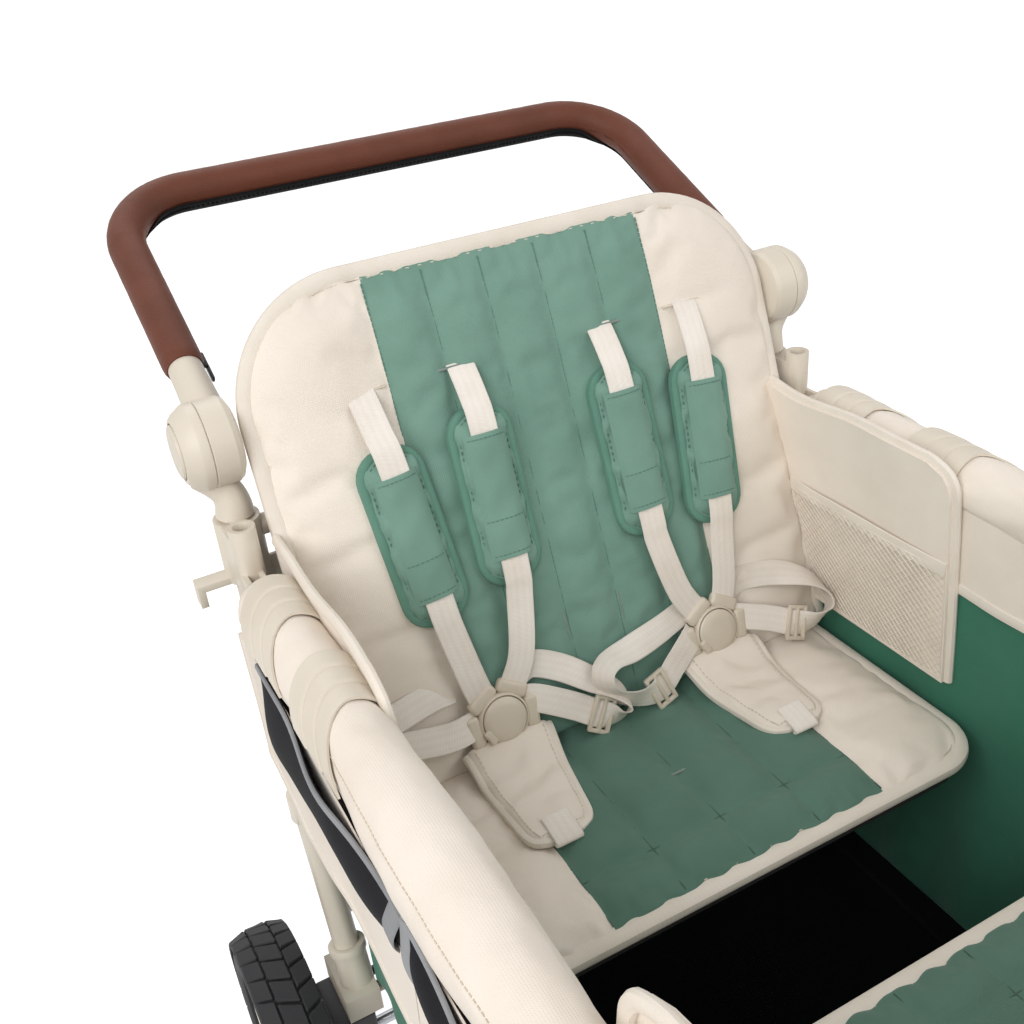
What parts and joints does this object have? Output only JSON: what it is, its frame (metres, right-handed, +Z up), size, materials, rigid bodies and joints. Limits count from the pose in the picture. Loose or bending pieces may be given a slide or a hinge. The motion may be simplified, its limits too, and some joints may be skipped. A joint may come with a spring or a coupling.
{
  "type": "stroller wagon",
  "caption": "Folding stroller wagon with two facing padded benches, harnesses, reclined push handle, pull handle, large rear wheels and swivelling front wheels.",
  "frame": {"origin": "on the ground under the middle of the whole length, on the left to right mid-plane", "axes": "+Z up, +Y towards the push-handle end, +X to the right seen from the pull-handle end looking along +Y"},
  "size_m": [0.74, 1.157, 0.947],
  "materials": {
    "frame_paint": "satin cream powder coat",
    "cream_plastic": "moulded cream plastic, satin",
    "black_plastic": "moulded black plastic, matt",
    "steel": "plain steel",
    "leather": "brown grained leatherette",
    "tyre": "black foam-filled tyre with blocks",
    "rim": "cream moulded rim",
    "sage_fabric": "quilted sage green fabric",
    "cream_fabric": "cream woven fabric",
    "green_fabric": "deep green woven fabric",
    "webbing": "cream woven webbing",
    "board": "black board"
  },
  "bodies": {
    "rear_frame": {"rear_frame": "frame_paint", "rear_top_brackets": "cream_plastic", "rear_lower_brackets": "cream_plastic", "rear_axle_boxes": "black_plastic", "rear_axle": "steel", "hub_housings": "cream_plastic", "rear_back_board": "board", "rear_back_pad": "sage_fabric", "rear_panel": "green_fabric", "rear_wings": "cream_fabric", "rear_side_walls": "green_fabric", "rear_harness_straps": "webbing", "rear_shoulder_pads": "sage_fabric", "rear_buckles": "cream_plastic"},
    "hub_button_left": {"hub_button_left": "cream_plastic"},
    "hub_button_right": {"hub_button_right": "cream_plastic"},
    "push_handle": {"handle_hubs": "cream_plastic", "handle_tube": "frame_paint", "handle_grip": "leather"},
    "rear_wheel_left": {"rear_tyre_left": "tyre", "rear_rim_left": "rim"},
    "rear_wheel_right": {"rear_tyre_right": "tyre", "rear_rim_right": "rim"},
    "brake": {"brake_pedal": "black_plastic"},
    "rear_buckle_button_left": {"rear_buckle_button_left": "cream_plastic"},
    "rear_buckle_button_right": {"rear_buckle_button_right": "cream_plastic"},
    "rear_seat": {"rear_seat_board": "board", "rear_seat_pad": "sage_fabric", "rear_crotch_pads": "cream_fabric"},
    "rear_floor": {"rear_floor_board": "board"},
    "front_floor": {"front_floor_board": "board"},
    "rails_rear": {"rail_tubes_rear": "steel", "rail_covers_rear": "cream_fabric", "rail_saddles_rear": "cream_plastic"},
    "rails_front": {"rail_tubes_front": "steel", "rail_covers_front": "cream_fabric", "rail_saddles_front": "cream_plastic"},
    "front_frame": {"front_frame": "frame_paint", "front_top_brackets": "cream_plastic", "front_lower_brackets": "cream_plastic", "front_back_board": "board", "front_back_pad": "sage_fabric", "front_panel": "green_fabric", "front_wings": "cream_fabric", "front_side_walls": "green_fabric", "front_harness_straps": "webbing", "front_shoulder_pads": "sage_fabric", "front_buckles": "cream_plastic"},
    "front_buckle_button_left": {"front_buckle_button_left": "cream_plastic"},
    "front_buckle_button_right": {"front_buckle_button_right": "cream_plastic"},
    "front_seat": {"front_seat_board": "board", "front_seat_pad": "sage_fabric", "front_crotch_pads": "cream_fabric"},
    "caster_left": {"caster_fork_left": "cream_plastic"},
    "caster_right": {"caster_fork_right": "cream_plastic"},
    "front_wheel_left": {"front_tyre_left": "tyre", "front_rim_left": "rim"},
    "front_wheel_right": {"front_tyre_right": "tyre", "front_rim_right": "rim"},
    "pull_handle": {"pull_handle": "black_plastic"}
  },
  "joints": [
    {"name": "fold", "type": "hinge", "parent": "rear_frame", "child": "rear_floor", "pos_m": [0, 0.21108, 0.214], "axis": [-1, 0, 0], "range_deg": [0, 60], "deforming": ["rear_back_pad", "rear_seat_pad", "rear_wings", "rear_side_walls", "rear_harness_straps", "rear_shoulder_pads", "rear_crotch_pads", "front_back_pad", "front_seat_pad", "front_wings", "front_side_walls", "front_harness_straps", "front_shoulder_pads", "front_crotch_pads", "rail_covers_rear", "rail_covers_front"]},
    {"name": "floor_middle", "type": "hinge", "parent": "rear_floor", "child": "front_floor", "pos_m": [0, -0.12593, 0.214], "axis": [-1, 0, 0], "range_deg": [-120, 0]},
    {"name": "front_end_fold", "type": "hinge", "parent": "front_floor", "child": "front_frame", "pos_m": [0, -0.46292, 0.214], "axis": [-1, 0, 0], "range_deg": [0, 60]},
    {"name": "rails_rear_fold", "type": "hinge", "parent": "rear_frame", "child": "rails_rear", "pos_m": [0, 0.21108, 0.696], "axis": [-1, 0, 0], "range_deg": [-60, 0]},
    {"name": "rails_middle", "type": "hinge", "parent": "rails_rear", "child": "rails_front", "pos_m": [0, -0.12593, 0.696], "axis": [-1, 0, 0], "range_deg": [0, 120]},
    {"name": "rear_seat_flip", "type": "hinge", "parent": "rear_frame", "child": "rear_seat", "pos_m": [0, 0.15237, 0.4677], "axis": [-1, 0, 0], "range_deg": [0, 66]},
    {"name": "front_seat_flip", "type": "hinge", "parent": "front_frame", "child": "front_seat", "pos_m": [0, -0.40422, 0.4677], "axis": [1, 0, 0], "range_deg": [0, 66]},
    {"name": "push_handle_tilt", "type": "hinge", "parent": "rear_frame", "child": "push_handle", "pos_m": [0, 0.28008, 0.8], "axis": [1, 0, 0], "range_deg": [-75, 45]},
    {"name": "hub_button_left_press", "type": "slide", "parent": "rear_frame", "child": "hub_button_left", "axis": [1, 0, 0], "range_m": [0, 0.003], "stiffness_N_per_m": 400},
    {"name": "rear_wheel_left_spin", "type": "hinge", "parent": "rear_frame", "child": "rear_wheel_left", "pos_m": [0, 0.22908, 0.14], "axis": [1, 0, 0], "continuous": true},
    {"name": "caster_left_swivel", "type": "hinge", "parent": "front_frame", "child": "caster_left", "pos_m": [-0.306, -0.49793, 0.12], "axis": [0, 0, 1], "continuous": true},
    {"name": "front_wheel_left_spin", "type": "hinge", "parent": "caster_left", "child": "front_wheel_left", "pos_m": [-0.306, -0.45992, 0.092], "axis": [1, 0, 0], "continuous": true},
    {"name": "rear_buckle_left_press", "type": "slide", "parent": "rear_frame", "child": "rear_buckle_button_left", "axis": [0, 0.9432, -0.3322], "range_m": [0, 0.002], "stiffness_N_per_m": 300},
    {"name": "front_buckle_left_press", "type": "slide", "parent": "front_frame", "child": "front_buckle_button_left", "axis": [0, -0.9432, -0.3322], "range_m": [0, 0.002], "stiffness_N_per_m": 300},
    {"name": "hub_button_right_press", "type": "slide", "parent": "rear_frame", "child": "hub_button_right", "axis": [-1, 0, 0], "range_m": [0, 0.003], "stiffness_N_per_m": 400},
    {"name": "rear_wheel_right_spin", "type": "hinge", "parent": "rear_frame", "child": "rear_wheel_right", "pos_m": [0, 0.22908, 0.14], "axis": [1, 0, 0], "continuous": true},
    {"name": "caster_right_swivel", "type": "hinge", "parent": "front_frame", "child": "caster_right", "pos_m": [0.306, -0.49793, 0.12], "axis": [0, 0, 1], "continuous": true},
    {"name": "front_wheel_right_spin", "type": "hinge", "parent": "caster_right", "child": "front_wheel_right", "pos_m": [0.306, -0.45992, 0.092], "axis": [1, 0, 0], "continuous": true},
    {"name": "rear_buckle_right_press", "type": "slide", "parent": "rear_frame", "child": "rear_buckle_button_right", "axis": [0, 0.9432, -0.3322], "range_m": [0, 0.002], "stiffness_N_per_m": 300},
    {"name": "front_buckle_right_press", "type": "slide", "parent": "front_frame", "child": "front_buckle_button_right", "axis": [0, -0.9432, -0.3322], "range_m": [0, 0.002], "stiffness_N_per_m": 300},
    {"name": "brake_press", "type": "hinge", "parent": "rear_frame", "child": "brake", "pos_m": [0, 0.27008, 0.166], "axis": [-1, 0, 0], "range_deg": [0, 22]},
    {"name": "pull_handle_swing", "type": "hinge", "parent": "front_frame", "child": "pull_handle", "pos_m": [0, -0.56849, 0.222], "axis": [1, 0, 0], "range_deg": [0, 95]}
  ],
  "couplings": [
    {"joint": "floor_middle", "follows": "fold", "ratio": -2},
    {"joint": "front_end_fold", "follows": "fold", "ratio": 1},
    {"joint": "rails_rear_fold", "follows": "fold", "ratio": -1},
    {"joint": "rails_middle", "follows": "fold", "ratio": 2},
    {"joint": "rear_seat_flip", "follows": "fold", "ratio": 1.1},
    {"joint": "front_seat_flip", "follows": "fold", "ratio": 1.1}
  ]
}
